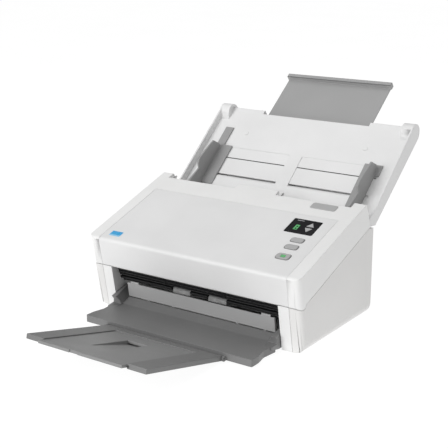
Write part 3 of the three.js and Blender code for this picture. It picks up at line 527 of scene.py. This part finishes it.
def frame_round(bm, sides, clear, wide, levels, where, radius):
    """Adds a flat frame with rounded corners round a rectangle, in millimetres."""
    x0, x1, y0, y1 = sides
    loops = []
    for grow in (clear, clear + wide):
        points = rectangle(x0 - grow, x1 + grow, y0 - grow, y1 + grow, radius + grow)
        for level in levels:
            loops.append([bm.verts.new(where @ (Vector((x, y, level)) * MM)) for x, y in points])
    inner_low, inner_high, outer_low, outer_high = loops
    count = len(inner_low)
    around = (inner_low, inner_high, outer_high, outer_low, inner_low)
    for a, b in zip(around, around[1:]):
        for i in range(count):
            j = (i + 1) % count
            bm.faces.new((a[i], a[j], b[j], b[i]))


def blue_label():
    """A plain label at the cover's front left corner, with a paler band."""
    outline = rectangle(-131.5, -114.5, 2.2, 12.5, 0.6)
    slab("blue_label", outline, 0.02, 0.18, TOP, "label_blue", "cover", 0.05)


def display_bar():
    """One plain lit bar above the figure, where the display has its caption."""
    outline = rectangle(91.5, 101.5, 104.8, 106.1, 0.5)
    slab("display_bar", outline, 0.05, 0.22, TOP, "mark_grey", "cover", 0.05)


def slot_ribs():
    """Black ribs along the inside of the paper exit, below the cover."""
    flange = NODES["upper_guide"].data.vertices
    path_normal = Vector(path_normal_direction())
    path_along = path_normal.cross(RIGHT)
    front = min(v.co.dot(path_along) for v in flange)
    foot = min(v.co.dot(path_normal) for v in flange if v.co.dot(path_along) < front + 1 * MM)
    where = local(path_along, path_normal, front, foot)
    thickness = 0.8
    for number, level in enumerate((2.5, 6.5, 10.5), start=1):
        for word, x0, x1 in (("left", -121, -47), ("middle", -44, 44), ("right", 47, 121)):
            shelf = rectangle(x0, x1, -2.2, 0.2, 0.4)
            slab(f"slot_rib_{number}_{word}", shelf, level, level + thickness, where, "black_plastic",
                 "cover", 0.1)


def path_normal_direction():
    """The direction off the paper path, from the two driven axles and their radii."""
    drive, leave = (Vector(joint(name)["pos_m"]) for name in ("drive_turn", "exit_turn"))
    span = drive - leave
    drive_radius = spread("drive_roller", UP)[1] - drive.z
    leave_radius = spread("exit_roller_left", UP)[1] - leave.z
    rise = drive_radius - leave_radius
    angle = math.atan2(span.z, span.y) + math.asin(rise / span.length)
    return (0, -math.sin(angle), math.cos(angle))


def extension_slot_shade():
    """A dark strip covering the slot the tray extension slides through: painted shade standing for the shadow in
    that gap.
    """
    # the dark rubber material here is painted shade, not a rubber part
    slab("extension_slot_shade", rectangle(-84.5, 84.5, 113.8, 116.2, 0.5), -1.45, 2.4, WALL, "dark_rubber",
         "input_tray", 0.3)


def deck_marks():
    """Two small raised dishes on the paper surface."""
    for word, x in (("left", -95.8), ("right", 95.8)):
        bm = bmesh.new()
        dish = [(3.6, 0.0), (3.3, 0.4), (2.7, 0.5), (2.1, 0.3), (1.2, 0.25)]
        turned(bm, dish, DECK @ Matrix.Translation(Vector((x, 75.3, 0)) * MM), 28)
        piece_from(f"deck_mark_{word}", bm, "tray_white", "input_tray")


def deck_grooves():
    """Dark strips at the foot of the two narrow grooves across the paper surface."""
    for word, x0, x1 in (("left", -130.3, -10.0), ("right", 10.0, 130.3)):
        strip = rectangle(x0, x1, 29.05, 30.35, 0.2)
        slab(f"deck_groove_{word}", strip, -1.72, -0.95, DECK, "black_plastic", "input_tray", 0.05)


def base_screws():
    """Round screw heads with a driver recess, holding the bottom plate."""
    (x0, y0, under), (x1, y1, _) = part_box("bottom_plate")
    inset = 9 * MM
    head = [(3.0, 0.0), (3.0, -0.8), (2.4, -1.3), (1.3, -1.3), (0.5, -0.5)]
    places = [(x, y) for x in (x0 + inset, (x0 + x1) / 2, x1 - inset) for y in (y0 + inset, y1 - inset)]
    for number, (x, y) in enumerate(places, start=1):
        bm = bmesh.new()
        turned(bm, head, Matrix.Translation((x, y, under)), 28)
        piece_from(f"base_screw_{number}", bm, "steel_rod", "base")


button_gap_shades()
blue_label()
display_bar()
slot_ribs()
extension_slot_shade()
deck_marks()
deck_grooves()
base_screws()


# ---------------------------------------------------------------- floor, light and camera

def pale_floor():
    bm = bmesh.new()
    size = 6.0
    level = -0.2 * MM
    corners = ((-size, -size), (size, -size), (size, size), (-size, size))
    bm.faces.new([bm.verts.new((x, y, level)) for x, y in corners])
    mesh = bpy.data.meshes.new("floor")
    bm.to_mesh(mesh)
    bm.free()
    floor = bpy.data.objects.new("floor", mesh)
    g = Graph("floor_paper")
    tone = g.mix(g.remap(g.noise(3, 3), 0.3, 0.7), (0.14, 0.14, 0.14, 1), (0.16, 0.16, 0.16, 1))
    mesh.materials.append(g.finish(Base_Color=tone, Roughness=0.95, Specular_IOR_Level=0.0,
                                   Emission_Color=(1, 1, 1, 1), Emission_Strength=0.93))
    bpy.context.scene.collection.objects.link(floor)


def studio_world(fill):
    """A white backdrop for the camera and an even fill for everything else."""
    world = bpy.data.worlds.new("studio")
    bpy.context.scene.world = world
    world.use_nodes = True
    tree = world.node_tree
    background = tree.nodes["Background"]
    path = tree.nodes.new("ShaderNodeLightPath")
    level = tree.nodes.new("ShaderNodeMapRange")
    level.inputs["To Min"].default_value = fill
    level.inputs["To Max"].default_value = 1.0
    tree.links.new(path.outputs["Is Camera Ray"], level.inputs["Value"])
    tree.links.new(level.outputs[0], background.inputs["Strength"])
    background.inputs["Color"].default_value = (1, 1, 1, 1)


def area_light(name, location, target, size, power):
    data = bpy.data.lights.new(name, "AREA")
    data.shape = "SQUARE"
    data.size = size
    data.energy = power
    light = bpy.data.objects.new(name, data)
    light.location = location
    light.rotation_euler = (Vector(target) - Vector(location)).to_track_quat("-Z", "Y").to_euler()
    bpy.context.scene.collection.objects.link(light)


def photo_camera():
    """The camera stands to the front right and a little above, looking slightly down."""
    data = bpy.data.cameras.new("camera")
    data.sensor_width = 36.0
    data.lens = 81.6
    distance = 1.2911
    camera = bpy.data.objects.new("camera", data)
    azimuth, elevation = math.radians(34.61), math.radians(15.948)
    back = Vector((math.sin(azimuth) * math.cos(elevation), -math.cos(azimuth) * math.cos(elevation),
                   math.sin(elevation)))
    front_feet = middle("foot_1", Vector((0, 1, 0)))
    target = Vector((-0.00376, front_feet + 33.02 * MM, 0.11935))
    camera.location = target + back * distance
    camera.rotation_euler = (-back).to_track_quat("-Z", "Y").to_euler()
    bpy.context.scene.collection.objects.link(camera)
    bpy.context.scene.camera = camera


pale_floor()
studio_world(0.43)
area_light("key", (-0.9, -2.2, 1.3), (0, 0, 0.1), 1.4, 36)
area_light("top", (0.1, 0.2, 2.2), (0, 0, 0.1), 1.6, 9)
photo_camera()
bpy.context.scene.view_settings.view_transform = "Standard"
